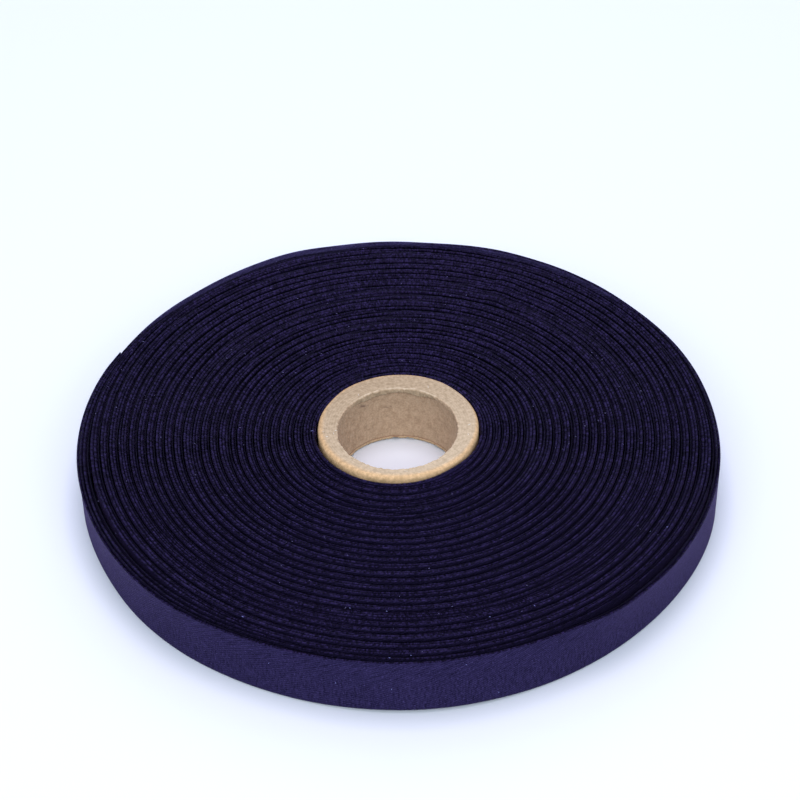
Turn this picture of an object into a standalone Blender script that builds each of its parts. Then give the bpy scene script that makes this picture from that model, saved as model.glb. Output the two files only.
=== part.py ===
"""Reel of twill tape, wound on a card core and lying flat.

Metres, +Z up. The origin is on the reel's axis, on the surface it rests on.
The tape is wound outward clockwise, seen from above, and each turn stands on
its edge. It rocked along the axis as it was wound, so the turns' edges rise and
sink in closed rings, and both faces of the reel are ribbed. The wound tape is
one solid with those rings. Its single turns are too fine to be modelled here.
"""
import math

import bpy
import numpy as np

# Card core
BORE_RADIUS = 0.0127
CORE_RADIUS = 0.0172
CORE_LENGTH = 0.0148
CORE_LIP_RADIUS = 0.0009
CORE_EDGE_RADIUS = 0.0003
LIP_POINTS = 5
EDGE_POINTS = 3

# Wound tape
CLEARANCE = 0.0003
WOUND_RADIUS = 0.06795
TAPE_WIDTH = 0.0132
TURN_PITCH = 0.00063
ROCK = 0.0008

# Rings: the first sunk ring, and how far apart they lie at the core and at the rim
FIRST_SUNK_RADIUS = 0.01884
INNER_RING_PITCH = 0.00175
OUTER_RING_PITCH = 0.00203
RING_COUNT = 24
SHALLOW_RINGS = 4
SHALLOWEST = 0.35

# Where the tape's cut end lies on the rim, and how wide its step is there
END_ANGLE = math.radians(155.5)
END_BAND = 0.0035

# Bulges and flats of the rim: angle in degrees, half-width in degrees, swell in metres
UNEVENNESS = (
    (26.7, 15.6, 0.00051),
    (59.0, 9.1, 0.00096),
    (71.9, 6.0, 0.00058),
    (92.7, 6.0, 0.00052),
    (111.0, 6.0, 0.00097),
    (123.2, 6.0, 0.00047),
    (175.0, 32.4, 0.00015),
    (205.2, 9.7, -0.00055),
    (274.3, 13.8, 0.00087),
    (345.7, 11.2, 0.00060),
)

# Where the last turn stands above the surface: angle, half-width, height
LAST_TURN_RISES = (
    (95.0, 38.0, 0.00080),
    (273.0, 13.0, 0.00050),
)

TURNING_STEPS = 54
SHARP_ANGLE = math.radians(35.0)
MERGE_DISTANCE = 0.00001

NAVY_TAPE = (0.022, 0.017, 0.060)
BROWN_CARD = (0.56, 0.42, 0.28)


def clear_scene():
    """Removes every object, so that the file gives the same result in any scene."""
    for item in list(bpy.data.objects):
        bpy.data.objects.remove(item, do_unlink=True)


def new_collection(name):
    collection = bpy.data.collections.new(name)
    bpy.context.scene.collection.children.link(collection)
    return collection


def principled(name, colour, roughness, sheen):
    """A plain Principled material: metallic 0, with the sheen that fibres give."""
    material = bpy.data.materials.new(name)
    material.use_nodes = True
    shader = material.node_tree.nodes["Principled BSDF"]
    shader.inputs["Base Color"].default_value = (*colour, 1.0)
    shader.inputs["Roughness"].default_value = roughness
    shader.inputs["Metallic"].default_value = 0.0
    shader.inputs["Sheen Weight"].default_value = sheen
    material.diffuse_color = (*colour, 1.0)
    return material


def arc(centre_x, centre_z, radius, start, end, points):
    """Points of a circular arc in the turning plane, angles in degrees from +X."""
    angles = np.radians(np.linspace(start, end, points))
    return [(centre_x + radius * math.cos(a), centre_z + radius * math.sin(a)) for a in angles]


def core_profile():
    """The card tube's section, down its outer side, in under it and up the bore."""
    lip, edge = CORE_LIP_RADIUS, CORE_EDGE_RADIUS
    top = CORE_LENGTH
    profile = arc(CORE_RADIUS - lip, top - lip, lip, 90.0, 0.0, LIP_POINTS)
    profile += arc(CORE_RADIUS - edge, edge, edge, 0.0, -90.0, EDGE_POINTS)
    profile += arc(BORE_RADIUS + edge, edge, edge, -90.0, -180.0, EDGE_POINTS)
    profile += arc(BORE_RADIUS + edge, top - edge, edge, 180.0, 90.0, EDGE_POINTS)
    return profile


def sunk_radii():
    """Radii of the sunk rings, whose spacing grows evenly from the core to the rim."""
    spacing = np.linspace(INNER_RING_PITCH, OUTER_RING_PITCH, RING_COUNT)
    return FIRST_SUNK_RADIUS + np.concatenate([[0.0], np.cumsum(spacing)])


def rise_along_radius():
    """Radii, and how far the turns stand up there: nothing in a sunk ring, ROCK between two.

    The rings next to the core are shallower. The last turn stands on the surface.
    """
    sunk = sunk_radii()
    depth = np.ones(len(sunk))
    depth[:SHALLOW_RINGS] = np.linspace(SHALLOWEST, 1.0, SHALLOW_RINGS, endpoint=False)
    crests = (sunk[:-1] + sunk[1:]) / 2
    inner_radius = CORE_RADIUS + CLEARANCE
    last_turn = WOUND_RADIUS - TURN_PITCH
    rim_crest = sunk[-1] + OUTER_RING_PITCH / 2

    rows = [(inner_radius, ROCK)]
    for radius, share in zip(sunk, depth):
        rows.append((radius, ROCK * (1.0 - share)))
    for radius in crests:
        rows.append((radius, ROCK))
    rows.append((rim_crest, ROCK))
    rows.append((last_turn - TURN_PITCH, ROCK))
    rows.append((last_turn, 0.0))
    rows.append((WOUND_RADIUS, 0.0))
    return sorted(rows)


def tape_profile():
    """The wound tape's section: both faces follow the same rise, a tape's width apart."""
    rows = rise_along_radius()
    lower = [(radius, rise) for radius, rise in reversed(rows)]
    upper = [(radius, rise + TAPE_WIDTH) for radius, rise in rows]
    return upper[-1:] + lower + upper[:-1]


def turned(name, profile, collection, material):
    """A solid of revolution about Z, from a closed section at +X."""
    mesh = bpy.data.meshes.new(name)
    points = [(x, 0.0, z) for x, z in profile]
    edges = [(i, (i + 1) % len(points)) for i in range(len(points))]
    mesh.from_pydata(points, edges, [])
    item = bpy.data.objects.new(name, mesh)
    collection.objects.link(item)
    screw = item.modifiers.new("turning", "SCREW")
    screw.axis = "Z"
    screw.angle = math.tau
    screw.steps = TURNING_STEPS
    screw.render_steps = TURNING_STEPS
    screw.use_merge_vertices = True
    screw.merge_threshold = MERGE_DISTANCE
    screw.use_smooth_shade = True
    item.data.materials.append(material)
    return item


def apply_modifiers(item):
    """Gives the object its evaluated mesh, so that its points can be moved."""
    graph = bpy.context.evaluated_depsgraph_get()
    finished = bpy.data.meshes.new_from_object(item.evaluated_get(graph))
    item.modifiers.clear()
    item.data = finished


def bells(angle, rows):
    """Sum of bells over the angle, each given by its angle, half-width and size."""
    total = np.zeros_like(angle)
    for middle, half_width, size in rows:
        away = (np.degrees(angle) - middle + 180.0) % 360.0 - 180.0
        total += size * np.exp(-0.5 * (away / half_width) ** 2)
    return total


def last_turn_step(angle):
    """The spiral of the last turn: highest at the cut end, one turn lower on its other side."""
    share = ((angle - END_ANGLE) % math.tau) / math.tau
    return TURN_PITCH * (0.5 - share)


def make_uneven(item):
    """Moves the points in or out, more towards the rim, and adds the last turn's step and rise."""
    mesh = item.data
    flat = np.empty(len(mesh.vertices) * 3, dtype=np.float32)
    mesh.vertices.foreach_get("co", flat)
    points = flat.reshape(-1, 3).astype(float)
    radius = np.hypot(points[:, 0], points[:, 1])
    angle = np.arctan2(points[:, 1], points[:, 0])
    inner_radius = CORE_RADIUS + CLEARANCE
    share = np.clip((radius - inner_radius) / (WOUND_RADIUS - inner_radius), 0.0, 1.0)
    at_rim = np.clip((radius - (WOUND_RADIUS - END_BAND)) / END_BAND, 0.0, 1.0)
    on_last_turn = radius > WOUND_RADIUS - 1.5 * TURN_PITCH
    moved = radius + share * bells(angle, UNEVENNESS) + at_rim * last_turn_step(angle)
    points[:, :2] *= (moved / radius)[:, None]
    points[:, 2] += on_last_turn * bells(angle, LAST_TURN_RISES)
    mesh.vertices.foreach_set("co", points.astype(np.float32).ravel())
    mesh.update()


def shade_round(item):
    item.data.shade_smooth()
    item.data.set_sharp_from_angle(angle=SHARP_ANGLE)


def main():
    clear_scene()
    reel = new_collection("twill_tape_reel")
    card = principled("brown_card", BROWN_CARD, roughness=0.85, sheen=0.0)
    tape = principled("navy_twill_tape", NAVY_TAPE, roughness=0.8, sheen=0.3)

    core = turned("core", core_profile(), reel, card)
    apply_modifiers(core)
    shade_round(core)

    wound = turned("wound_tape", tape_profile(), reel, tape)
    apply_modifiers(wound)
    make_uneven(wound)
    shade_round(wound)


main()
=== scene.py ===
"""Looks of the reel of twill tape: one long tape wound on a card core, lying flat.

Metres, +Z up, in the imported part's frame. The tape is one closed strip carried
along a spiral, clockwise outward seen from above, and its cut end lies on the rim
at END_ANGLE. Every point of it is worked out from its distance along the tape.
"""
import math

import bmesh
import bpy
import numpy as np
from mathutils import Matrix, Vector


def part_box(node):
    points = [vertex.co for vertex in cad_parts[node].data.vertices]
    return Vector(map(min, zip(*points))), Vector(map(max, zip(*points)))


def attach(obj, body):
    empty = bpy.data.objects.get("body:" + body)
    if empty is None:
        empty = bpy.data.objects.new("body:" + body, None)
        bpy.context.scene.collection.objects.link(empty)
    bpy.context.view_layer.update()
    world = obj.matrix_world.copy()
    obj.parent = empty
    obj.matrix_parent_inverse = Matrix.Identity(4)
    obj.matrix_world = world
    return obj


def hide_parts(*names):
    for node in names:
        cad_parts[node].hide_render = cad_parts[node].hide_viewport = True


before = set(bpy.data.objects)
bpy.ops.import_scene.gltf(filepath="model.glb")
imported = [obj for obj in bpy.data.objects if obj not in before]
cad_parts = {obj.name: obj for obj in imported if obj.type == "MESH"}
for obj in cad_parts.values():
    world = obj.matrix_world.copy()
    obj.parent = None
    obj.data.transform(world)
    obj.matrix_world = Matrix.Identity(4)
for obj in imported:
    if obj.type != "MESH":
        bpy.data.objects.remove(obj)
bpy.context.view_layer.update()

CORE_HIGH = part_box("core")[1]
WOUND_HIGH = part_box("wound_tape")[1]
MM = 0.001
TAU = math.tau

# Card core, from the frame's box and the part's own bore
CORE_RADIUS = CORE_HIGH.x
CORE_LENGTH = CORE_HIGH.z
BORE_RADIUS = 12.7 * MM
CORE_LIP_RADIUS = 0.9 * MM
CORE_EDGE_RADIUS = 0.3 * MM
CORE_STEPS = 720
CORE_OVAL = 0.15 * MM
CORE_SET_BACK = 0.36 * MM
PLY_SPACING = 0.55 * MM
# The back of the core over the angle, in degrees: where it starts, is full, fades and ends
BACK_OF_CORE = (42.0, 56.0, 132.0, 150.0)

# Tape
WOUND_RADIUS = 67.95 * MM
WOUND_HEIGHT = WOUND_HIGH.z
TAPE_WIDTH = 13.2 * MM
TAPE_THICKNESS = 0.58 * MM
TURN_PITCH = 0.63 * MM
ROCK = WOUND_HEIGHT - TAPE_WIDTH
END_ANGLE = math.radians(155.5)
END_THICKNESS = 0.28 * MM
END_TAPER = 7.0 * MM
CORE_GAP = 0.06 * MM
# How long one step along the tape is
CHORD = 0.62 * MM
# Where the last turn's sides have points, as shares of the tape's width
WALL_LEVELS = (0.965, 0.93, 0.87, 0.78, 0.66, 0.5, 0.34, 0.18, 0.06)
# How steeply the twill lines rise to the tape's length, about 25 degrees, and how far
# apart they lie across its width
TWILL_SLOPE = 0.47
TWILL_SPACING = 0.58 * MM
# The section's rounded edges: how far out each point lies, as a share of half the
# thickness, and in millimetres, how far under the upper crest or over the lower one
EDGE_OUT = (-1.0, -0.62, 0.0, 0.62, 1.0)
UPPER_DROP = (0.32, 0.15, 0.05, 0.0, 0.14)
LOWER_LIFT = (0.20, 0.055, 0.0, 0.055, 0.20)
EDGE_POINTS = len(EDGE_OUT)
# How far the path wanders at random, in height and in radius
HEIGHT_WANDER = 0.07 * MM
RADIUS_WANDER = 0.02 * MM
# A turn leans outward as these powers of the height over its lower edge
LEAN_POWER = 2.2
BACK_LEAN_POWER = 12.0
# How many turns the tape's first piece covers, and where the others end along the tape
LAST_TURN = 1.03
PIECE_ENDS = (0.27, 0.53, 0.78, 1.0)

# Rings in which the turns' edges sink: RING_COUNT spaces between them
FIRST_SUNK_RADIUS = 18.84 * MM
INNER_RING_PITCH = 1.75 * MM
OUTER_RING_PITCH = 2.03 * MM
RING_COUNT = 25
# Where the rings' drift gives way to the rim's swells, and over what width
RIM_START = 64.0 * MM
RIM_BAND = 3.3 * MM
# A lump under the rings: over the angle in degrees and the radius in millimetres, where
# it starts, is full, fades and ends, and its size in millimetres
LUMP_ANGLES = (59.0, 63.0, 65.0, 67.0)
LUMP_RADII = (45.0, 49.0, 56.0, 59.0)
LUMP_SIZE = 0.45

# Bells over the angle: middle and half-width in degrees, size in millimetres
RIM_SWELLS = (
    (26.7, 15.6, 0.51),
    (59.0, 9.1, 0.96),
    (71.9, 6.0, 0.58),
    (92.7, 6.0, 0.52),
    (111.0, 6.0, 0.97),
    (123.2, 6.0, 0.47),
    (175.0, 32.4, 0.15),
    (205.2, 9.7, -0.55),
    (274.3, 13.8, 0.87),
    (345.7, 11.2, 0.60),
    (276.0, 22.0, 0.25),
    (128.0, 12.0, -0.40),
    (118.0, 24.0, -0.22),
    (60.0, 15.0, -0.32),
    (160.0, 7.0, -0.22),
)
# Rings' drift outward, in millimetres: radius, level, then sizes along cos, sin, cos 2,
# sin 2 and sin 3 of the angle
RING_DRIFTS = (
    (17.2, 0.00, 0.00, 0.30, 0.00, 0.15, 0.00),
    (20.5, 0.23, 0.06, 0.31, -0.24, 0.19, -0.06),
    (24.0, 0.09, -0.09, -0.02, -0.21, 0.20, -0.03),
    (28.0, 0.09, -0.14, -0.15, -0.31, 0.29, -0.02),
    (32.0, 0.17, 0.28, -0.18, -0.28, 0.22, -0.05),
    (36.0, 0.24, 0.34, 0.01, -0.38, 0.17, -0.01),
    (40.0, 0.33, 0.37, 0.37, -0.31, 0.11, -0.03),
    (44.0, 0.44, 0.40, 0.29, -0.46, 0.22, -0.02),
    (48.0, 0.58, 0.30, 0.40, -0.55, 0.05, 0.05),
    (52.0, 0.71, 0.32, 0.45, -0.46, -0.06, 0.06),
    (56.0, 0.73, 0.15, 0.44, -0.62, -0.10, 0.17),
    (60.0, 0.65, 0.24, 0.97, -0.70, -0.28, 0.20),
    (63.5, 0.79, 0.28, 0.73, -0.79, -0.28, 0.14),
)
# How high the last turn's edges stand: bells, as above
LAST_TURN_RISES = (
    (95.0, 38.0, 0.80),
    (275.0, 12.0, 0.65),
)
# How far the turns next to the core stand above the rest
CORE_RISES = (
    (212.0, 18.0, 0.16),
    (250.0, 30.0, 0.15),
    (312.0, 28.0, 0.26),
    (310.0, 11.0, 0.36),
    (342.0, 8.0, -0.22),
)
# How high the second turn's edges stand, in front
SECOND_TURN_RISES = (
    (208.0, 22.0, 0.50),
    (322.0, 10.0, 0.40),
)
# Where the outer turns' upper edges lean outward: about four turns on the left, one at
# the back and two on the right
LEFT_LEANS = (
    (208.0, 12.0, 1.05),
    (229.0, 9.0, 0.75),
)
BACK_LEANS = (
    (115.0, 24.0, 0.70),
)
RIGHT_LEANS = (
    (318.0, 12.0, 1.35),
    (308.0, 4.0, 0.50),
)
# The back of the rim over the angle, in degrees: where it starts, is full, fades and ends
BACK_OF_RIM = (36.0, 48.0, 138.0, 152.0)
# Heights of the outermost turns there in millimetres, the last turn's first, on its two sides
BACK_HEIGHTS_RIGHT = (0.74, 0.68, 0.92, 0.05, 0.70)
BACK_HEIGHTS_LEFT = (0.62, 0.00, 0.10, 0.20, 0.30)
# Where its right side gives way to its left one, in degrees
BACK_CHANGE = (76.0, 86.0)
# Grooves are shallower here, and only towards the rim
SHALLOW_SIDE = (
    (235.0, 28.0, 0.35),
)
# Points along each fleck, speck and piece of lint
FIBRE_POINTS = 6
# Pale specks on the top and on the rim: angle in degrees, then radius, height and length
# in millimetres
SPECKS = (
    (240.9, 63.9, 14.0, 0.42),
    (268.3, 67.8, 13.9, 0.40),
    (259.8, 54.9, 14.0, 0.32),
    (267.0, 55.1, 14.0, 0.25),
    (271.6, 67.0, 14.0, 0.25),
    (295.9, 59.9, 14.0, 0.25),
    (286.8, 59.6, 14.0, 0.25),
    (329.5, 62.9, 14.0, 0.30),
    (327.0, 60.8, 14.0, 0.22),
    (180.5, 18.1, 14.1, 0.60),
    (248.0, 69.0, 9.0, 0.35),
    (259.5, 69.2, 7.4, 0.45),
    (268.5, 69.3, 7.2, 0.35),
    (280.5, 69.4, 12.3, 0.30),
    (286.0, 69.3, 3.0, 0.25),
)

# Whitish flecks on the card's end: angle in degrees and radius in millimetres
FLECKS = (
    (186.5, 15.8),
    (192.0, 15.9),
    (190.5, 13.9),
    (186.5, 13.7),
    (0.0, 14.7),
    (349.0, 15.0),
    (286.5, 15.7),
    (277.5, 15.0),
    (311.0, 13.6),
    (128.0, 13.9),
    (62.0, 14.1),
)
# Dark or reddish marks on the bore: angle in degrees, then height, half-width and half-height
# in millimetres
MARKS = (
    (127.5, 11.8, 0.90, 0.28),
    (101.0, 9.3, 0.45, 0.18),
    (97.5, 9.5, 0.25, 0.14),
    (6.0, 12.9, 0.50, 0.60),
)

# Colours, linear: the tape's edges, its flat sides, the card and the loose fibres
EDGE_DARK = (0.0008, 0.0004, 0.0036, 1.0)
EDGE_LIGHT = (0.0252, 0.0172, 0.0715, 1.0)
EDGE_GLINT = (0.034, 0.026, 0.100, 1.0)
# Painted highlight: paler edges where light catches the turns standing up at the back
EDGE_PAINTED_HIGHLIGHT = (0.040, 0.035, 0.100, 1.0)
# Painted shade: the colour of the turns' edges deep in the grooves
EDGE_PAINTED_SHADE = (0.0003, 0.0002, 0.0014, 1.0)
EDGE_GLOSS = (0.50, 0.36, 1.0, 1.0)
SIDE_DARK = (0.0058, 0.0042, 0.0215, 1.0)
SIDE_LIGHT = (0.0345, 0.0256, 0.0910, 1.0)
SIDE_GLINT = (0.085, 0.068, 0.200, 1.0)
# Painted highlight: paler flat sides where light catches the turns standing up at the back
SIDE_PAINTED_HIGHLIGHT = (0.052, 0.045, 0.122, 1.0)
# Painted shade: the colour of the flat sides deep in the grooves
SIDE_PAINTED_SHADE = (0.0004, 0.0003, 0.0018, 1.0)
SIDE_SHEEN = (0.52, 0.36, 1.0, 1.0)
# Pairs for the card: between its pale spots, and in them. The end and the outer ply have
# a painted lit pair towards the front and right and a painted shaded pair towards the back and left
CARD_END_PAINTED_LIT = ((0.450, 0.350, 0.232, 1.0), (0.620, 0.490, 0.338, 1.0))
CARD_END_PAINTED_SHADE = ((0.290, 0.203, 0.122, 1.0), (0.420, 0.308, 0.198, 1.0))
OUTER_PLY_PAINTED_LIT = ((0.52, 0.345, 0.180, 1.0), (0.78, 0.530, 0.295, 1.0))
OUTER_PLY_PAINTED_SHADE = ((0.38, 0.240, 0.118, 1.0), (0.55, 0.350, 0.178, 1.0))
CARD_INSIDE = ((0.420, 0.288, 0.184, 1.0), (0.590, 0.424, 0.286, 1.0))
CARD_RIDGE = (0.66, 0.54, 0.38, 1.0)
CARD_TORN = (0.70, 0.58, 0.42, 1.0)
CARD_STAIN = (0.085, 0.045, 0.040, 1.0)
FOOT_STRIP = (0.60, 0.43, 0.265, 1.0)
FOOT_LINE = (0.22, 0.085, 0.045, 1.0)
# Painted shadow where the card's foot meets the floor
FOOT_PAINTED_SHADOW = (0.12, 0.10, 0.12, 1.0)
CARD_FLECK = (0.88, 0.82, 0.72, 1.0)
NAVY_THREAD = (0.020, 0.016, 0.055, 1.0)
LILAC_LINT = (0.26, 0.24, 0.50, 1.0)
PALE_LINT = (0.24, 0.26, 0.60, 1.0)


def random_wave(position, knot_spacing, seed):
    """A smooth random line from -1 to 1: random values at even knots, joined by a cosine ease."""
    at = position / knot_spacing
    knots = np.random.RandomState(seed).uniform(-1.0, 1.0, int(np.max(at)) + 3)
    low = np.floor(at).astype(int)
    ease = 0.5 - 0.5 * np.cos(np.pi * (at - low))
    return knots[low] * (1.0 - ease) + knots[low + 1] * ease


def smooth_step(value, low, high):
    """0 below low, 1 above high, and 3t^2 - 2t^3 between them."""
    t = np.clip((value - low) / (high - low), 0.0, 1.0)
    return t * t * (3.0 - 2.0 * t)


def plateau(value, start, full, fading, end):
    """1 from full to fading, 0 below start and above end, and smooth steps between."""
    return smooth_step(value, start, full) * (1.0 - smooth_step(value, fading, end))


def way_round(section):
    """Distance round a closed section at each of its points, and at the first one again."""
    steps = np.linalg.norm(np.diff(np.vstack([section, section[:1]]), axis=0), axis=1)
    return np.concatenate([[0.0], np.cumsum(steps)])


def grid_mesh(name, points, along, around, closed_around=False, capped=False):
    """A mesh of quads from a grid of points, with a UV map of (along, around).

    points[i, j] lies at along[i], around[j]. A closed direction has one more value
    of its coordinate than it has points, so that the map doesn't run back over it.
    """
    rows, columns = points.shape[:2]
    i, j = np.meshgrid(
        np.arange(rows - 1), np.arange(columns if closed_around else columns - 1), indexing="ij"
    )
    i, j = i.ravel(), j.ravel()
    right = (j + 1) % columns
    corners = np.stack(
        [i * columns + j, (i + 1) * columns + j, (i + 1) * columns + right, i * columns + right], 1
    )
    u = np.stack([along[i], along[i + 1], along[i + 1], along[i]], 1)
    v = np.stack([around[j], around[j], around[j + 1], around[j + 1]], 1)
    uv = np.stack([u, v], 2).reshape(-1, 2)
    faces = corners.tolist()
    if capped:
        first = np.arange(columns)
        last = first[::-1] + (rows - 1) * columns
        faces += [first.tolist(), last.tolist()]
        ends = np.repeat([along[0], along[-1]], columns)
        uv = np.concatenate([uv, np.stack([ends, np.zeros(2 * columns)], 1)])
    mesh = bpy.data.meshes.new(name)
    mesh.from_pydata(points.reshape(-1, 3), [], faces)
    layer = mesh.uv_layers.new(name="flat")
    layer.data.foreach_set("uv", uv.astype(np.float32).ravel())
    mesh.shade_smooth()
    item = bpy.data.objects.new(name, mesh)
    bpy.context.scene.collection.objects.link(item)
    return item


def paint(item, name, values):
    """Stores one number for each vertex, for the material to read."""
    attribute = item.data.attributes.new(name, "FLOAT", "POINT")
    attribute.data.foreach_set("value", np.asarray(values, dtype=np.float32).ravel())


def sunk_radii():
    """Radii of the sunk rings, whose spacing grows evenly from the core to the rim."""
    spacing = np.linspace(INNER_RING_PITCH, OUTER_RING_PITCH, RING_COUNT)
    return FIRST_SUNK_RADIUS + np.concatenate([[0.0], np.cumsum(spacing)])


def bells(angle, rows):
    """Sum of bells over the angle, each (middle, half-width, size), in metres."""
    total = np.zeros_like(angle)
    for middle, half_width, size in rows:
        away = (np.degrees(angle) - middle + 180.0) % 360.0 - 180.0
        total += size * MM * np.exp(-0.5 * (away / half_width) ** 2)
    return total


def drift(radius, angle):
    """How far a turn lies outside its circle.

    The rings' drift is a sum of waves over the angle, whose sizes are joined straight
    between the table's radii. Outside the last ring it gives way to the rim's swells.
    A lump under the rings pushes them out at one place, and has a sharp edge there.
    """
    table = np.array(RING_DRIFTS)
    at = np.clip(radius / MM, table[0, 0], table[-1, 0])
    sizes = [np.interp(at, table[:, 0], column) for column in table[:, 1:].T]
    level, cos_1, sin_1, cos_2, sin_2, sin_3 = sizes
    rings = level + cos_1 * np.cos(angle) + sin_1 * np.sin(angle)
    rings += cos_2 * np.cos(2.0 * angle) + sin_2 * np.sin(2.0 * angle) + sin_3 * np.sin(3.0 * angle)
    degrees = np.degrees(angle) % 360.0
    rings += LUMP_SIZE * plateau(degrees, *LUMP_ANGLES) * plateau(at, *LUMP_RADII)
    rim = np.clip((radius - RIM_START) / RIM_BAND, 0.0, 1.0)
    return rings * MM * (1.0 - rim) + bells(angle, RIM_SWELLS) * rim


def rise(radius, angle):
    """How far a turn's edges stand above where a sunk turn's are.

    The turn whose middle is nearest to a ring is sunk, and the others are raised. The
    next turn takes over where the spiral has moved half a turn past the ring. Between
    two rings the turns stand a little higher outward. The grooves' place and depth are
    uneven: both vary by sines over the angle, with another phase in every ring. The first
    rings are shallower, and so are the last one at the back and the outer ones on
    SHALLOW_SIDE.
    """
    sunk = sunk_radii()
    number = np.interp(radius, sunk, np.arange(len(sunk)))
    ring = np.round(number).astype(int)
    wander = 0.10 * MM * np.sin(3.0 * angle + 1.7 * ring) + 0.08 * MM * np.sin(5.0 * angle + 2.9 * ring)
    offset = (radius - sunk[ring] + wander) / TURN_PITCH
    away = np.abs(offset)
    depth = 1.0 - smooth_step(away, 0.32, 0.66)
    depth *= (
        0.82 + 0.12 * np.sin(2.0 * angle + 1.9 * ring**2) + 0.06 * np.sin(5.0 * angle + 2.7 * ring**2)
    )
    depth *= 0.50 + 0.50 * smooth_step(number, -0.5, 4.0)
    depth *= 1.0 - 0.5 * (ring == RING_COUNT) * smooth_step(np.sin(angle), 0.0, 0.5)
    depth *= 1.0 - bells(angle, SHALLOW_SIDE) / MM * smooth_step(radius, 46.0 * MM, 54.0 * MM)
    further = smooth_step(away, 1.0, 1.6)
    step = np.where(offset < 0.0, 0.09 * further, 0.17 - 0.08 * further) * MM
    return (ROCK - step) * (1.0 - depth)


def shape_back(height, turn, angle):
    """The turns' heights, with the five outermost turns' own heights at the back.

    On the left of the back the last turn stands up from the two next to it, and its
    inner side shows. On the right the third turn does, and the last two are lower. It
    also gives the share in which each turn's painted groove shade is lifted, and a painted
    highlight on the upper edge and inner side of the turn that stands up.
    """
    degrees = np.degrees(angle) % 360.0
    at_back = plateau(degrees, *BACK_OF_RIM)
    left = smooth_step(degrees, *BACK_CHANGE)
    number = np.floor(turn).astype(int)
    count = len(BACK_HEIGHTS_LEFT)
    row = np.minimum(number, count - 1)
    on_right = np.array(BACK_HEIGHTS_RIGHT)[row]
    on_left = np.array(BACK_HEIGHTS_LEFT)[row]
    wanted = on_right + left * (on_left - on_right)
    standing = at_back * np.select(
        [number == 0, number == 1, number == 2, number < count],
        [left, 0.40, 1.0 - 0.6 * left, 0.30],
        default=0.0,
    )
    # Painted highlight: on the last turn on the left of the back, and on the third turn on the right
    painted_highlight = at_back * ((number == 0) * left + (number == 2) * (1.0 - left) * 0.8)
    return height + at_back * (number < count) * (wanted * MM - height), standing, painted_highlight


def spiral(distance):
    """Angle turned and radius at each distance from the cut end inward.

    The radius falls evenly with the angle, so distance = a*angle - b*angle^2/2,
    which is solved for the angle.
    """
    a = WOUND_RADIUS + TURN_PITCH / 2 - TAPE_THICKNESS / 2
    b = TURN_PITCH / TAU
    turned = (a - np.sqrt(a * a - 2.0 * b * distance)) / b
    return turned, a - b * turned


def tape_length():
    """Length of tape from the cut end to the core."""
    a = WOUND_RADIUS + TURN_PITCH / 2 - TAPE_THICKNESS / 2
    inner = CORE_RADIUS + CORE_GAP + TAPE_THICKNESS / 2
    return (a * a - inner * inner) / 2.0 / (TURN_PITCH / TAU)


def tape_section(half_thickness, shoulders):
    """The tape's cross-section: (outward, up) points, rounded at both edges.

    It runs from the inner side over the upper edge, which slopes down a little towards
    the axis, to the outer side and back below. Shoulders are the points on the sides.
    """
    out = np.array(EDGE_OUT) * half_thickness
    upper = np.stack([out, TAPE_WIDTH - np.array(UPPER_DROP) * MM], 1)
    lower = np.stack([out[::-1], np.array(LOWER_LIFT) * MM], 1)
    wall = np.array([[half_thickness, TAPE_WIDTH * s] for s in shoulders]).reshape(-1, 2)
    inner_wall = wall[::-1] * [-1.0, 1.0]
    return np.concatenate([upper, wall, lower, inner_wall])


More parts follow.
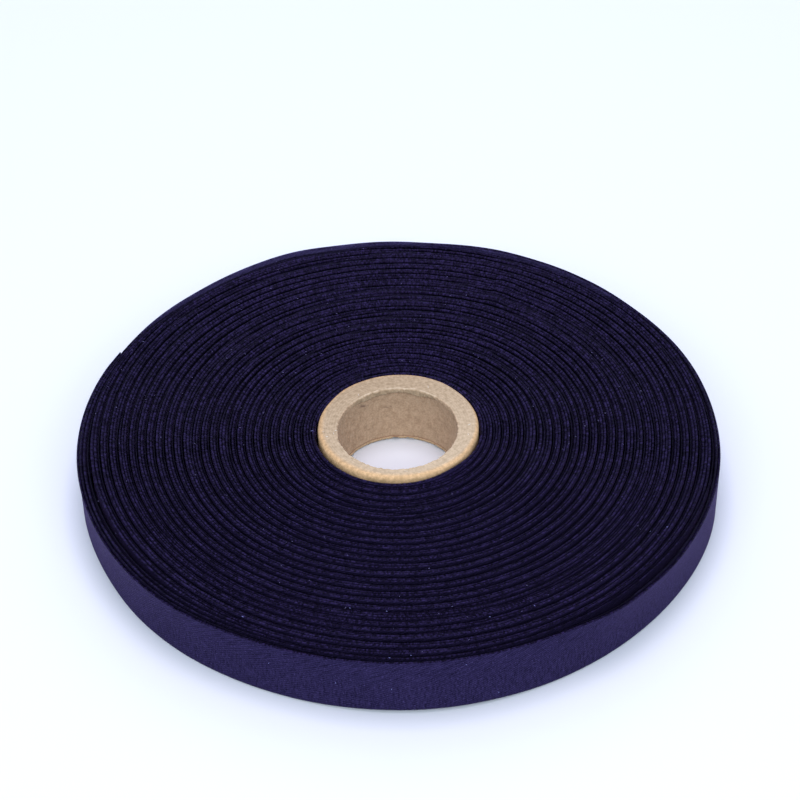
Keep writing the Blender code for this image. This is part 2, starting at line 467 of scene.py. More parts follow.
def wind_tape(name, start, end, shoulders=()):
    """The tape between two distances from its cut end, as a closed strip on the spiral.

    Each section is set across the path: outward is away from the axis. The path's
    height is the rise at that radius and angle, with small random wander, and its
    radius follows the drift. Where the drift crowds the turns they are pressed thinner.
    The last two turns, the outer ones at the back and those next to the core have their
    own height, and the outer turns' upper edges lean outward in places. The cut end is
    pressed thin, its inner side kept against the turn below.
    """
    distance = np.linspace(start, end, int((end - start) / CHORD) + 2)
    turned, circle = spiral(distance)
    angle = END_ANGLE + turned
    height = rise(circle, angle)
    turn = turned / TAU
    last = 1.0 - smooth_step(turn, 0.97, LAST_TURN)
    second = 1.0 - smooth_step(turn, 1.95, 2.05) - last
    front = smooth_step(-np.sin(angle), 0.0, 0.4)
    height += last * (0.08 * MM + bells(angle, LAST_TURN_RISES) - height)
    height += front * second * (bells(angle, SECOND_TURN_RISES) - height)
    height, standing, painted_highlight = shape_back(height, turn, angle)
    at_core = 1.0 - smooth_step(circle, CORE_RADIUS + 0.9 * MM, CORE_RADIUS + 1.6 * MM)
    pressed_up = bells(angle, CORE_RISES)
    height += HEIGHT_WANDER * random_wave(distance, 9.0 * MM, seed=3)
    height += HEIGHT_WANDER * random_wave(distance, 60.0 * MM, seed=4)
    height += HEIGHT_WANDER * (1.0 - last) * random_wave(distance, 1.1 * MM, seed=6)
    height = np.clip(height, 0.0, ROCK + 0.12 * MM)
    height += at_core * (ROCK + pressed_up - height)
    beside = 0.3 * MM
    crowding = 1.0 + (drift(circle + beside, angle) - drift(circle - beside, angle)) / (2.0 * beside)
    radius = circle + drift(circle, angle) + RADIUS_WANDER * random_wave(distance, 12.0 * MM, seed=5)
    lean = bells(angle, LEFT_LEANS) * (1.0 - smooth_step(turn, 2.2, 4.6))
    lean += bells(angle, RIGHT_LEANS) * (1.0 - smooth_step(turn, 1.9, 2.6))
    thickness = TAPE_THICKNESS * np.clip(crowding, 0.45, 1.12)
    thickness -= (TAPE_THICKNESS - END_THICKNESS) * (1.0 - smooth_step(distance, 0.0, END_TAPER))
    inward = (TAPE_THICKNESS - END_THICKNESS) / 2 * (1.0 - smooth_step(distance, 0.0, END_TAPER))
    section = tape_section(0.5, shoulders)
    up = section[None, :, 1] * np.ones_like(height)[:, None]
    reach = (radius - inward)[:, None] + section[None, :, 0] * thickness[:, None]
    reach = reach + lean[:, None] * (up / TAPE_WIDTH) ** LEAN_POWER
    at_top = (up / TAPE_WIDTH) ** BACK_LEAN_POWER
    reach = reach + (last * bells(angle, BACK_LEANS))[:, None] * at_top
    points = np.stack(
        [reach * np.cos(angle)[:, None], reach * np.sin(angle)[:, None], height[:, None] + up], 2
    )
    around = way_round(section * [TAPE_THICKNESS, 1.0])
    tape = grid_mesh(name, points, distance, around, closed_around=True, capped=True)
    # The share in which the painted groove shade is lifted: fully on the last turn, partly on the outer
    # turns at the back, and by 0.30 on every turn's outer side
    outside = np.zeros(len(section))
    outside[EDGE_POINTS - 1 : EDGE_POINTS + 1 + len(shoulders)] = 0.30
    shown = np.maximum(last, 0.9 * standing)
    paint(tape, "unshaded", np.maximum(shown[:, None], outside[None, :]))
    # The painted highlight lies on the upper edge and the upper inner side
    inner = np.ones(len(section))
    inner[EDGE_POINTS - 1 : 2 * EDGE_POINTS + len(shoulders)] = 0.0
    near_top = smooth_step(section[None, :, 1], 9.0 * MM, 12.2 * MM)
    paint(tape, "painted_highlight", painted_highlight[:, None] * inner[None, :] * near_top)
    return tape


def lay_faces(tape, shoulders, material):
    """Gives a second material to the tape's two flat sides."""
    tape.data.materials.append(material)
    points = EDGE_POINTS + len(shoulders)
    quads = len(tape.data.polygons) - 2
    column = np.arange(quads) % (2 * points)
    outer_side = (column >= EDGE_POINTS - 1) & (column < points)
    inner_side = column >= EDGE_POINTS - 1 + points
    flat = outer_side | inner_side
    index = np.append(flat.astype(np.int32), [0, 0]).astype(np.int32)
    tape.data.polygons.foreach_set("material_index", index)


def patches(turns, levels, around_cells, level_cells, seed):
    """A smooth random field from -1 to 1, repeating round the angle.

    turns runs from 0 to 1 round the axis and levels from 0 to 1 across. Random
    values at the corners of even cells are joined by a cosine ease in both directions.
    """
    knots = np.random.RandomState(seed).uniform(-1.0, 1.0, (around_cells, level_cells + 2))
    at_turn, at_level = turns * around_cells, levels * level_cells
    low_turn, low_level = np.floor(at_turn).astype(int), np.floor(at_level).astype(int)
    ease_turn = (0.5 - 0.5 * np.cos(np.pi * (at_turn - low_turn)))[:, None]
    ease_level = (0.5 - 0.5 * np.cos(np.pi * (at_level - low_level)))[None, :]
    this, following = knots[low_turn % around_cells], knots[(low_turn + 1) % around_cells]
    lower = this[:, low_level] * (1.0 - ease_turn) + following[:, low_level] * ease_turn
    upper = this[:, low_level + 1] * (1.0 - ease_turn) + following[:, low_level + 1] * ease_turn
    return lower * (1.0 - ease_level) + upper * ease_level


def stripes(turns, columns, cells, seed):
    """A smooth random field over the angle alone, alike in every column of the section."""
    return patches(turns, np.zeros(columns), cells, 1, seed)


def arc(centre_x, centre_z, radius, start, end, points):
    """Points of a circular arc in the turning plane, angles in degrees from +X."""
    angles = np.radians(np.linspace(start, end, points))
    return np.stack([centre_x + radius * np.cos(angles), centre_z + radius * np.sin(angles)], 1)


def line(first, last, points):
    """Evenly spaced points between two, without the two themselves."""
    share = np.linspace(0.0, 1.0, points + 2)[1:-1, None]
    return np.array(first) * (1.0 - share) + np.array(last) * share


def first_again(rows):
    """The rows, and then the first one again, which weld joins to it."""
    return np.concatenate([rows, rows[:1]])


def card_core():
    """The card tube: a closed section carried round the axis, roughened by random fields.

    The section runs over the rounded lip, down the outer side, in under the tube, up
    the bore and out over the torn end. The bore is rough all over, both its rims are
    ragged, and a burr of torn plies bulges into it, most at the back. The wall's
    thickness follows sines and cosines of the angle, and it is thinnest in front. The
    lip is sharper at the back. The whole tube is a little oval, by a sine of twice the
    angle, and set back.
    """
    lip, edge, top = CORE_LIP_RADIUS, CORE_EDGE_RADIUS, CORE_LENGTH
    lip_part = arc(CORE_RADIUS - lip, top - lip, lip, 90.0, 0.0, points=10)
    side_part = line((CORE_RADIUS, top - lip), (CORE_RADIUS, edge), points=4)
    under_part = np.concatenate(
        [
            arc(CORE_RADIUS - edge, edge, edge, 0.0, -90.0, points=4),
            arc(BORE_RADIUS + edge, edge, edge, -90.0, -180.0, points=4),
        ]
    )
    bore_part = line((BORE_RADIUS, edge), (BORE_RADIUS, top - edge), points=64)
    rim_part = arc(BORE_RADIUS + edge, top - edge, edge, 180.0, 90.0, points=5)
    end_part = line((BORE_RADIUS + edge, top), (CORE_RADIUS - lip, top), points=22)
    section = np.concatenate([lip_part, side_part, under_part, bore_part, rim_part, end_part])
    count = len(section)
    turns = np.arange(CORE_STEPS) / CORE_STEPS
    angle = turns * TAU
    degrees = np.degrees(angle)[:, None]
    radius = np.repeat(section[None, :, 0], CORE_STEPS, axis=0)
    height = np.repeat(section[None, :, 1], CORE_STEPS, axis=0)

    level = height[0] / top
    first_bore = len(lip_part) + len(side_part) + len(under_part)
    on_bore = np.zeros(count)
    on_bore[first_bore : first_bore + len(bore_part) + 3] = 1.0
    on_end = np.zeros(count)
    on_end[first_bore + len(bore_part) + 2 :] = 1.0
    on_lip = np.zeros(count)
    on_lip[: len(lip_part) - 1] = 1.0
    on_side = np.zeros(count)
    on_side[len(lip_part) - 1 : len(lip_part) + len(side_part) + 1] = 1.0

    levels = np.clip(level, 0.0, 1.0)
    coarse = patches(turns, levels, 60, 9, seed=11)
    streaks = patches(turns, levels, 260, 5, seed=12)
    fine = patches(turns, levels, 420, 34, seed=13)
    radius -= on_bore * MM * (0.07 * coarse + 0.06 * streaks + 0.05 * fine)
    low = on_bore * (1.0 - smooth_step(height, 0.5 * MM, 1.3 * MM))
    ragged = stripes(turns, count, 70, seed=14) + 0.6 * stripes(turns, count, 230, seed=21)
    radius -= low * MM * (0.16 + 0.26 * ragged)
    at_foot = (section[:, 0] < BORE_RADIUS + 1.1 * edge) * (section[:, 1] < 1.0 * MM)
    lowest = 1.0 - smooth_step(height, 0.3 * MM, 1.0 * MM)
    height += at_foot * MM * 0.55 * np.clip(ragged - 0.25, 0.0, 1.0) * lowest

    back = plateau(degrees, *BACK_OF_CORE)
    burr = 0.10 + 0.10 * back + (0.04 + 0.12 * back) * stripes(turns, count, 46, seed=15)
    from_top = (top - height) / MM + 0.30 * stripes(turns, count, 26, seed=22)
    over = 1.0 - smooth_step(from_top, 1.20, 1.42)
    bulge = np.clip((from_top - 0.05) / 1.1, 0.0, 1.0) * over
    crease = np.exp(-(((from_top - 1.52) / 0.16) ** 2)) * back
    radius -= on_bore * MM * (burr * bulge - 0.22 * crease)
    across = np.clip((section[:, 0] - BORE_RADIUS) / (CORE_RADIUS - lip - BORE_RADIUS), 0.0, 1.0)
    thinner = 0.29 - 1.05 * np.sin(angle) - 0.13 * np.cos(angle) - 0.16 * np.cos(2.0 * angle)
    thinner = thinner[:, None] * MM * (1.0 - across)
    radius += np.maximum(thinner, 0.0) + np.minimum(thinner, 0.0) * over
    sharper = 0.45 * MM * back
    lip_angle = np.zeros(count)
    lip_angle[: len(lip_part)] = np.linspace(0.5 * np.pi, 0.0, len(lip_part))
    below_crest = np.arange(count) > 0
    radius += on_lip * sharper * (1.0 - np.cos(lip_angle)) * below_crest
    height += on_lip * sharper * (1.0 - np.sin(lip_angle))
    torn = stripes(turns, count, 130, seed=16) + 0.6 * stripes(turns, count, 320, seed=17)
    from_bore = (section[:, 0] - BORE_RADIUS) / (0.45 * MM)
    near_rim = np.exp(-(from_bore**2))[None, :] * np.maximum(on_end, on_bore)
    upper = smooth_step(height, top - 1.0 * MM, top - 0.3 * MM)
    radius -= near_rim * upper * 0.11 * MM * torn

    felt = patches(turns, across, 300, 12, seed=18)
    plies = patches(turns, across, 24, 9, seed=19)
    height += on_end * MM * (0.03 * felt + 0.04 * plies - 0.05)
    height += on_lip * MM * 0.012 * (felt - 1.0)
    radius += on_lip * MM * 0.035 * (stripes(turns, count, 34, seed=20) - 1.0)
    height = np.clip(height, 0.0, top)
    radius = np.minimum(radius, CORE_RADIUS)
    inset = (CORE_RADIUS - radius) / MM
    width = 0.75 + 1.5 * (0.5 + 0.5 * np.cos(angle - math.radians(245.0)))[:, None]
    near_side = 1.0 - smooth_step(inset / width, 0.0, 1.0)
    outer_ply = np.maximum(near_side * np.maximum(on_end, on_lip), on_side)
    radius += CORE_OVAL * np.sin(2.0 * angle)[:, None]

    points = np.stack(
        [radius * np.cos(angle)[:, None], radius * np.sin(angle)[:, None] + CORE_SET_BACK, height], 2
    )
    along = np.append(angle, TAU) * CORE_RADIUS
    core = grid_mesh("card_core", first_again(points), along, way_round(section), closed_around=True)
    paint(core, "lip", first_again(outer_ply))
    shown = on_bore * (1.0 - (1.0 - smooth_step(from_top, 1.20, 1.55)) * (0.25 + 0.75 * back))
    paint(core, "bore", first_again(shown))
    line_radius = BORE_RADIUS + (0.22 + 0.22 * stripes(turns, count, 40, seed=23)) * MM
    edge_line = np.exp(-(((section[None, :, 0] - line_radius) / (0.13 * MM)) ** 2)) * on_end
    pale = edge_line * np.clip(0.55 + 0.5 * torn, 0.0, 1.0) * (0.25 + 0.75 * back)
    paint(core, "torn", first_again(pale))
    stain = np.zeros_like(radius)
    for middle, level_mm, half_width, half_height in MARKS:
        across_mm = ((degrees - middle + 180.0) % 360.0 - 180.0) * math.radians(1.0) * BORE_RADIUS / MM
        above_mm = height / MM - level_mm - 0.3 * across_mm
        away = (across_mm / half_width) ** 2 + (above_mm / half_height) ** 2
        stain = np.maximum(stain, np.exp(-away))
    stain *= on_bore * (0.7 + 0.3 * fine)
    paint(core, "stain", first_again(stain))
    weld(core)
    return core


def weld(item):
    """Joins the first and last rows of a closed surface, which lie in the same place."""
    form = bmesh.new()
    form.from_mesh(item.data)
    bmesh.ops.remove_doubles(form, verts=form.verts, dist=1e-8)
    form.to_mesh(item.data)
    form.free()


def fibres(name, paths, thickness):
    """Thin fibres of triangular section, all in one mesh.

    paths[k, i] is the i-th point of fibre k. Each ring of three points lies across the
    path, along its two cross directions.
    """
    count, steps = paths.shape[:2]
    along = np.gradient(paths, axis=1)
    along /= np.linalg.norm(along, axis=2)[..., None]
    side = np.cross(along, [0.0, 0.0, 1.0])
    side /= np.maximum(np.linalg.norm(side, axis=2), 1e-9)[..., None]
    over = np.cross(side, along)
    turn = np.arange(3) * TAU / 3
    ring = side[:, :, None] * np.cos(turn)[:, None] + over[:, :, None] * np.sin(turn)[:, None]
    points = paths[:, :, None] + ring * thickness / 2
    first = np.arange(count) * steps * 3
    base = (first[:, None] + np.arange(steps - 1) * 3)[..., None]
    corner = np.arange(3)
    a, b = base + corner, base + (corner + 1) % 3
    sides = np.stack([a, b, b + 3, a + 3], -1).reshape(-1, 4).tolist()
    tail = first + (steps - 1) * 3
    ends = np.concatenate([first[:, None] + [2, 1, 0], tail[:, None] + [0, 1, 2]]).tolist()
    faces = sides + ends
    mesh = bpy.data.meshes.new(name)
    mesh.from_pydata(points.reshape(-1, 3), [], faces)
    mesh.shade_smooth()
    item = bpy.data.objects.new(name, mesh)
    bpy.context.scene.collection.objects.link(item)
    return item


def lint():
    """Short pale fibres that lie on the top, each a gentle arc of its own length and heading."""
    random = np.random.RandomState(31)
    count = 150
    angle = random.uniform(0.0, TAU, count)
    distance = np.sqrt(random.uniform(0.09, 0.98, count)) * WOUND_RADIUS
    length = random.uniform(0.12, 0.42, count) * MM
    height = np.full(count, WOUND_HEIGHT + 0.04 * MM)
    return arcs("lint", random, angle, distance, height, length, thickness=0.06 * MM)


def specks():
    """The pale specks that stand out, at their own places."""
    random = np.random.RandomState(32)
    angle, distance, height, length = np.array(SPECKS).T
    distance, height, length = distance * MM, height * MM, length * MM
    return arcs("specks", random, np.radians(angle), distance, height, length, thickness=0.11 * MM)


def flecks():
    """Whitish torn fibres on the card's end."""
    random = np.random.RandomState(33)
    angle, distance = np.array(FLECKS).T
    height = np.full(len(angle), CORE_LENGTH)
    length = random.uniform(0.35, 0.75, len(angle)) * MM
    return arcs("flecks", random, np.radians(angle), distance * MM, height, length, thickness=0.12 * MM)


def arcs(name, random, angle, distance, height, length, thickness):
    """Fibres that start at (angle, distance, height) and turn evenly as they run on level."""
    heading = random.uniform(0.0, TAU, len(angle))
    bend = random.uniform(-1.2, 1.2, len(angle))
    share = np.linspace(0.0, 1.0, FIBRE_POINTS)
    turn = heading[:, None] + bend[:, None] * share[None]
    offsets = np.stack([np.cos(turn), np.sin(turn), np.zeros_like(turn)], 2)
    offsets *= (length / (FIBRE_POINTS - 1))[:, None, None]
    starts = np.stack([distance * np.cos(angle), distance * np.sin(angle), height], 1)
    return fibres(name, starts[:, None] + np.cumsum(offsets, axis=1), thickness)


def frayed_threads():
    """Loose weft threads at the tape's cut end, each drooping a little along the rim."""
    random = np.random.RandomState(37)
    count, steps = 9, 7
    height = np.linspace(1.0, 12.6, count) * MM + random.uniform(-0.4, 0.4, count) * MM
    edge = WOUND_RADIUS + TURN_PITCH / 2 - TAPE_THICKNESS + END_THICKNESS / 2
    edge += bells(np.array([END_ANGLE]), RIM_SWELLS)[0]
    length = random.uniform(0.3, 1.1, count) * MM
    share = np.linspace(0.0, 1.0, steps)
    turned = -length[:, None] * share[None] / edge
    out = edge + random.uniform(-0.05, 0.15, count)[:, None] * MM * share[None] ** 2
    drop = random.uniform(-0.2, 0.3, count)[:, None] * MM * share[None] ** 2
    where = END_ANGLE + turned
    points = np.stack([out * np.cos(where), out * np.sin(where), height[:, None] - drop], 2)
    return fibres("frayed_threads", points, 0.08 * MM)


def new_material(name):
    material = bpy.data.materials.new(name)
    material.use_nodes = True
    material.node_tree.nodes.clear()
    return material


class Recipe:
    """Adds shader nodes to one material and joins them by socket name or number."""

    def __init__(self, material):
        self.tree = material.node_tree

    def add(self, kind, sockets=None, **settings):
        node = self.tree.nodes.new(kind)
        for key, value in settings.items():
            setattr(node, key, value)
        for key, value in (sockets or {}).items():
            if isinstance(value, bpy.types.NodeSocket):
                self.tree.links.new(value, node.inputs[key])
            else:
                node.inputs[key].default_value = value
        return node

    def maths(self, operation, first, second=0.0):
        return self.add("ShaderNodeMath", {0: first, 1: second}, operation=operation).outputs[0]

    def plus(self, first, second):
        return self.maths("ADD", first, second)

    def times(self, first, second):
        return self.maths("MULTIPLY", first, second)

    def noise(self, vector, scale, detail, roughness):
        sockets = {"Vector": vector, "Scale": scale, "Detail": detail, "Roughness": roughness}
        return self.add("ShaderNodeTexNoise", sockets).outputs["Fac"]

    def painted(self, name):
        """The number that paint stored for each vertex under this name."""
        return self.add("ShaderNodeAttribute", attribute_name=name).outputs["Fac"]

    def stretch(self, value, low, high):
        """0 where the value is at low, 1 where it is at high, straight between them and held beyond."""
        sockets = {"Value": value, 1: low, 2: high, 3: 0.0, 4: 1.0}
        return self.add("ShaderNodeMapRange", sockets, clamp=True).outputs[0]

    def blend_value(self, share, first, second):
        """One number that runs from first to second as the share does from 0 to 1."""
        return self.add("ShaderNodeMix", {0: share, 2: first, 3: second}, data_type="FLOAT").outputs[0]

    def blend(self, share, first, second):
        node = self.add("ShaderNodeMix", {"Factor": share}, data_type="RGBA")
        for key, value in ((6, first), (7, second)):
            if isinstance(value, bpy.types.NodeSocket):
                self.tree.links.new(value, node.inputs[key])
            else:
                node.inputs[key].default_value = value
        return node.outputs[2]


def tape_edge_material():
    """Edges of the turns: finely grained, with painted shade in the grooves, and gloss drawn out
    lengthwise.
    """
    material = new_material("navy_tape_edges")
    make = Recipe(material)
    uv = make.add("ShaderNodeUVMap", uv_map="flat").outputs[0]
    unshaded_share = make.painted("unshaded")
    place = make.add("ShaderNodeTexCoord").outputs["Object"]
    z = make.add("ShaderNodeSeparateXYZ", {0: place}).outputs[2]
    # Painted shade: the edges darken with depth under the top or over the bottom, except where the
    # painted share lifts it
    deep = make.maths("MINIMUM", make.maths("SUBTRACT", WOUND_HEIGHT, z), z)
    crest = make.maths("MAXIMUM", make.stretch(deep, 0.62 * MM, 0.12 * MM), unshaded_share)
    parts = make.add("ShaderNodeSeparateXYZ", {0: uv})
    along, around = parts.outputs[0], parts.outputs[1]
    slender = make.add("ShaderNodeCombineXYZ", {0: along, 1: make.times(around, 0.45)}).outputs[0]
    grain = make.noise(slender, scale=2400.0, detail=2.0, roughness=0.6)
    blotches = make.noise(uv, scale=160.0, detail=3.0, roughness=0.6)
    bright = make.times(make.stretch(grain, 0.42, 0.64), make.stretch(blotches, 0.0, 0.75))
    edge = make.blend(bright, EDGE_DARK, EDGE_LIGHT)
    glints = make.times(make.stretch(grain, 0.62, 0.72), 0.35)
    edge = make.blend(glints, edge, EDGE_GLINT)
    # Painted highlight where light catches the turns standing up at the back
    painted_highlight = make.painted("painted_highlight")
    painted_highlight = make.times(painted_highlight, make.stretch(blotches, 0.30, 0.80))
    edge = make.blend(painted_highlight, edge, EDGE_PAINTED_HIGHLIGHT)
    colour = make.blend(crest, EDGE_PAINTED_SHADE, edge)
    bump = make.add("ShaderNodeBump", {"Strength": 0.9, "Distance": 0.0004, "Height": grain}).outputs[0]
    along_tape = make.add("ShaderNodeTangent", direction_type="UV_MAP", uv_map="flat").outputs[0]
    shader = make.add(
        "ShaderNodeBsdfPrincipled",
        {
            "Base Color": colour,
            "Roughness": 0.38,
            "Anisotropic": 0.6,
            "Tangent": along_tape,
            "Specular IOR Level": 0.11,
            "Specular Tint": EDGE_GLOSS,
            "Normal": bump,
        },
    )
    make.add("ShaderNodeOutputMaterial", {"Surface": shader.outputs[0]})
    return material


def tape_face_material():
    """The flat side of the tape, seen round the rim: fine twill lines that rise to the right.

    On its upper half the yarns show as broken ribs along the lines, and below as
    upright streaks.
    """
    material = new_material("navy_twill_face")
    make = Recipe(material)
    uv = make.add("ShaderNodeUVMap", uv_map="flat").outputs[0]
    parts = make.add("ShaderNodeSeparateXYZ", {0: uv})
    along, around = parts.outputs[0], parts.outputs[1]
    place = make.add("ShaderNodeTexCoord").outputs["Object"]
    z = make.add("ShaderNodeSeparateXYZ", {0: place}).outputs[2]
    slanted = make.plus(make.times(along, TWILL_SLOPE), around)
    lines = make.maths("SINE", make.times(slanted, TAU / TWILL_SPACING))
    ribbed = make.add("ShaderNodeCombineXYZ", {0: make.times(along, 0.3), 1: slanted}).outputs[0]
    ribs = make.noise(ribbed, scale=1300.0, detail=2.0, roughness=0.5)
    grain = make.noise(uv, scale=2600.0, detail=2.0, roughness=0.6)
    slender = make.add("ShaderNodeCombineXYZ", {0: along, 1: make.times(around, 0.2)}).outputs[0]
    streaks = make.noise(slender, scale=2300.0, detail=2.0, roughness=0.5)
    blotches = make.noise(uv, scale=90.0, detail=3.0, roughness=0.6)
    weave = make.plus(make.times(lines, 0.26), make.stretch(grain, 0.25, 0.75))
    upper = make.stretch(z, 7.0 * MM, 10.0 * MM)
    yarns = make.blend_value(upper, make.stretch(streaks, 0.28, 0.72), make.stretch(ribs, 0.25, 0.75))
    weave = make.plus(weave, yarns)
    weave = make.plus(weave, make.times(blotches, 0.5))
    cloth = make.blend(make.stretch(weave, 0.45, 2.0), SIDE_DARK, SIDE_LIGHT)
    glints = make.times(make.stretch(grain, 0.62, 0.72), 0.55)
    cloth = make.blend(glints, cloth, SIDE_GLINT)
    # Painted highlight where light catches the turns standing up at the back
    painted_highlight = make.painted("painted_highlight")
    painted_highlight = make.times(painted_highlight, make.stretch(make.plus(blotches, grain), 0.60, 1.50))
    cloth = make.blend(painted_highlight, cloth, SIDE_PAINTED_HIGHLIGHT)
    unshaded_share = make.painted("unshaded")
    # Painted shade: the flat sides darken with depth under the top or over the bottom, except where the
    # painted share lifts it
    deep = make.maths("MINIMUM", make.maths("SUBTRACT", WOUND_HEIGHT, z), z)
    near_edge = make.times(make.stretch(deep, 0.50 * MM, 0.15 * MM), 0.85)
    crest = make.maths("MAXIMUM", near_edge, unshaded_share)
    colour = make.blend(crest, SIDE_PAINTED_SHADE, cloth)
    relief = make.plus(make.times(lines, 0.30), make.times(grain, 1.6))
    bump = make.add("ShaderNodeBump", {"Strength": 0.8, "Distance": 0.0001, "Height": relief}).outputs[0]
    shader = make.add(
        "ShaderNodeBsdfPrincipled",
        {
            "Base Color": colour,
            "Roughness": 0.7,
            "Specular IOR Level": 0.03,
            "Sheen Weight": 0.14,
            "Sheen Roughness": 0.3,
            "Sheen Tint": SIDE_SHEEN,
            "Normal": bump,
        },
    )
    make.add("ShaderNodeOutputMaterial", {"Surface": shader.outputs[0]})
    return material


def card_material():
    """Brown card: a pale torn end, an orange-tan outer ply and a greyer, speckled bore."""
    material = new_material("brown_card")
    make = Recipe(material)
    place = make.add("ShaderNodeTexCoord").outputs["Object"]
    axes = make.add("ShaderNodeSeparateXYZ", {0: place})
    x, y, z = axes.outputs[0], axes.outputs[1], axes.outputs[2]
    radius = make.maths("SQRT", make.plus(make.times(x, x), make.times(y, y)))
    lip = make.painted("lip")
    bore = make.painted("bore")
    torn = make.painted("torn")
    stain = make.painted("stain")
    mottle = make.noise(place, scale=1300.0, detail=5.0, roughness=0.65)
    flecks = make.noise(place, scale=2600.0, detail=2.0, roughness=0.5)
    plies = make.maths("SINE", make.times(radius, TAU / PLY_SPACING))

    spots = make.stretch(mottle, 0.36, 0.64)
    painted_lit_end = make.blend(spots, *CARD_END_PAINTED_LIT)
    painted_shaded_end = make.blend(spots, *CARD_END_PAINTED_SHADE)
    # Painted light and shade: the end and the outer ply blend from their shaded pair at the back and left
    # to their lit pair at the front and right
    shade = make.stretch(make.plus(make.times(y, -9.0), make.times(x, 3.5)), -0.2, 0.2)
    end = make.blend(shade, painted_shaded_end, painted_lit_end)
    end = make.blend(make.stretch(plies, 0.6, 2.6), end, CARD_RIDGE)
    end = make.blend(make.times(torn, 0.7), end, CARD_TORN)
    painted_lit_ply = make.blend(spots, *OUTER_PLY_PAINTED_LIT)
    painted_shaded_ply = make.blend(spots, *OUTER_PLY_PAINTED_SHADE)
    ply = make.blend(shade, painted_shaded_ply, painted_lit_ply)
    soft = make.noise(place, scale=700.0, detail=3.0, roughness=0.6)
    speckled = make.plus(make.times(flecks, 0.5), make.times(soft, 0.5))
    inside = make.blend(make.stretch(speckled, 0.38, 0.62), *CARD_INSIDE)
    inside = make.blend(make.times(stain, 0.95), inside, CARD_STAIN)
    # The bore's foot: a pale strip, a dark line above it and a painted contact shadow below it, where it
    # meets the floor
    low = make.times(make.stretch(z, 1.05 * MM, 0.85 * MM), make.stretch(z, 0.10 * MM, 0.30 * MM))
    mark = make.times(make.stretch(z, 0.80 * MM, 0.95 * MM), make.stretch(z, 1.25 * MM, 1.05 * MM))
    inside = make.blend(low, inside, FOOT_STRIP)
    inside = make.blend(make.times(mark, 0.55), inside, FOOT_LINE)
    painted_contact_shadow = make.times(make.stretch(z, 0.30 * MM, 0.10 * MM), 0.7)
    inside = make.blend(painted_contact_shadow, inside, FOOT_PAINTED_SHADOW)
    ragged_lip = make.stretch(make.plus(lip, make.times(mottle, 0.6)), 0.45, 1.1)
    colour = make.blend(bore, make.blend(ragged_lip, end, ply), inside)
    relief = make.plus(mottle, make.times(flecks, 0.5))
    bump = make.add("ShaderNodeBump", {"Strength": 0.55, "Distance": 0.0001, "Height": relief}).outputs[0]
    shader = make.add(
        "ShaderNodeBsdfPrincipled",
        {"Base Color": colour, "Roughness": 0.9, "Specular IOR Level": 0.2, "Normal": bump},
    )
    make.add("ShaderNodeOutputMaterial", {"Surface": shader.outputs[0]})
    return material


def fibre_material(name, colour):
    """One plain matt colour, for lint and loose threads."""
    material = new_material(name)
    make = Recipe(material)
    shader = make.add(
        "ShaderNodeBsdfPrincipled", {"Base Color": colour, "Roughness": 0.8, "Specular IOR Level": 0.2}
    )
    make.add("ShaderNodeOutputMaterial", {"Surface": shader.outputs[0]})
    return material


def floor_material():
    material = new_material("pale_floor")
    make = Recipe(material)
    shader = make.add(
        "ShaderNodeBsdfPrincipled",
        {"Base Color": (0.76, 0.80, 0.87, 1.0), "Roughness": 0.6, "Specular IOR Level": 0.2},
    )
    make.add("ShaderNodeOutputMaterial", {"Surface": shader.outputs[0]})
    return material


def make_floor():
    """A plain pale floor, wide enough to fill the photo's view."""
    half = 3.0
    mesh = bpy.data.meshes.new("floor")
    corners = [(-half, -half, 0), (half, -half, 0), (half, half, 0), (-half, half, 0)]
    mesh.from_pydata(corners, [], [(0, 1, 2, 3)])
    floor = bpy.data.objects.new("floor", mesh)
    bpy.context.scene.collection.objects.link(floor)
    mesh.materials.append(floor_material())


def make_camera():
    """The camera at the photo's angle: above the front, turned a little about its own axis."""
    distance = 512.48 * MM
    elevation = math.radians(39.69)
    aim = Vector((0.45, 9.64, 13.96)) * MM
    roll = math.radians(-0.774)
    place = aim + distance * Vector((0.0, -math.cos(elevation), math.sin(elevation)))
    data = bpy.data.cameras.new("camera")
    data.lens = 106.4
    data.sensor_width = 36.0
    data.clip_start = 0.01
    camera = bpy.data.objects.new("camera", data)
    bpy.context.scene.collection.objects.link(camera)
    look = (aim - place).to_track_quat("-Z", "Y").to_matrix().to_4x4()
    camera.matrix_world = Matrix.Translation(place) @ look @ Matrix.Rotation(roll, 4, "Z")
    bpy.context.scene.camera = camera


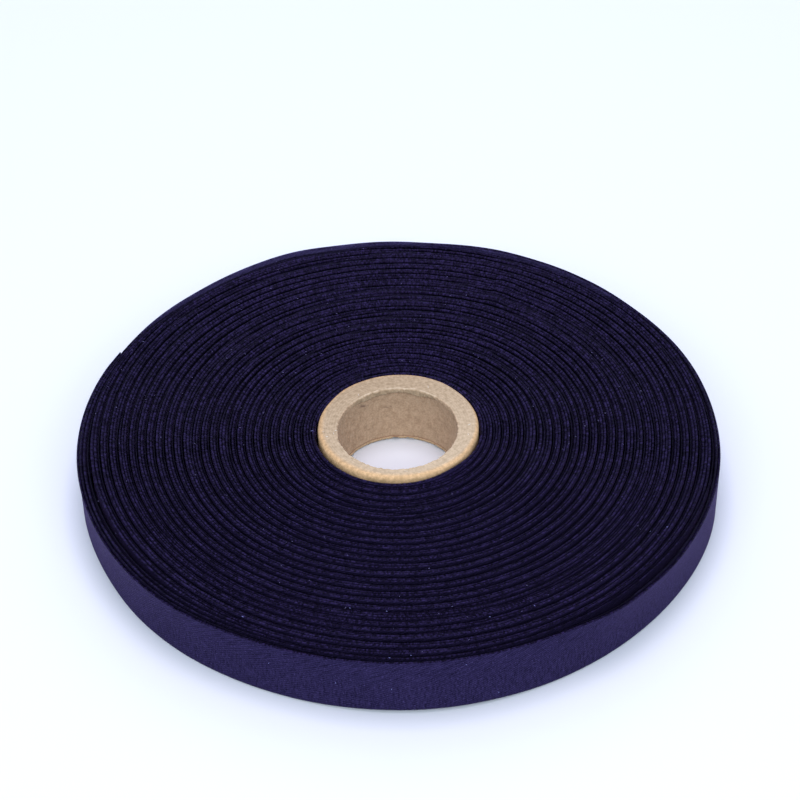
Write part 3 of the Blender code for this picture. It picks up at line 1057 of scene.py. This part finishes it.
def area_light(name, place, size, power, colour):
    """A soft box aimed at the origin: width and height in metres, and power in watts."""
    data = bpy.data.lights.new(name, "AREA")
    data.shape = "RECTANGLE"
    data.size, data.size_y = size
    data.energy = power
    data.color = colour
    light = bpy.data.objects.new(name, data)
    bpy.context.scene.collection.objects.link(light)
    look = (Vector((0.0, 0.0, 0.0)) - Vector(place)).to_track_quat("-Z", "Y").to_matrix().to_4x4()
    light.matrix_world = Matrix.Translation(place) @ look


def make_light():
    """A white room: bluish light from all round, and soft boxes overhead, in front and behind."""
    world = bpy.data.worlds.new("white_room")
    world.use_nodes = True
    background = world.node_tree.nodes["Background"]
    background.inputs[0].default_value = (0.76, 0.84, 1.0, 1.0)
    background.inputs[1].default_value = 0.62
    bpy.context.scene.world = world
    area_light("overhead", (0.0, 0.05, 0.95), size=(0.5, 0.5), power=4.8, colour=(0.97, 0.86, 0.93))
    area_light("front", (0.0, -0.75, 0.75), size=(1.5, 0.4), power=6.9, colour=(0.88, 0.96, 1.0))
    area_light("back", (0.0, 0.75, 0.75), size=(0.9, 0.7), power=2.4, colour=(0.45, 0.6, 1.0))
    bpy.context.scene.view_settings.view_transform = "Standard"


def main():
    make_camera()
    make_light()
    make_floor()
    edges = tape_edge_material()
    twill = tape_face_material()
    length = tape_length()
    bounds = [0.0, LAST_TURN * TAU * WOUND_RADIUS] + [share * length for share in PIECE_ENDS]
    names = ("last_turn", "rim_turns", "outer_turns", "middle_turns", "inner_turns")
    for index, name in enumerate(names):
        shoulders = WALL_LEVELS if name == "last_turn" else ()
        tape = wind_tape(name, bounds[index], bounds[index + 1], shoulders)
        tape.data.materials.append(edges)
        lay_faces(tape, shoulders, twill)
        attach(tape, "root")
        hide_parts("wound_tape")
    core = card_core()
    core.data.materials.append(card_material())
    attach(core, "root")
    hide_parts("core")
    white = flecks()
    white.data.materials.append(fibre_material("card_flecks", CARD_FLECK))
    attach(white, "root")
    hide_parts("core")
    threads = frayed_threads()
    threads.data.materials.append(fibre_material("navy_thread", NAVY_THREAD))
    loose = lint()
    loose.data.materials.append(fibre_material("lilac_lint", LILAC_LINT))
    pale = specks()
    pale.data.materials.append(fibre_material("pale_lint", PALE_LINT))
    for item in (threads, loose, pale):
        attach(item, "root")
        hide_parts("wound_tape")


main()
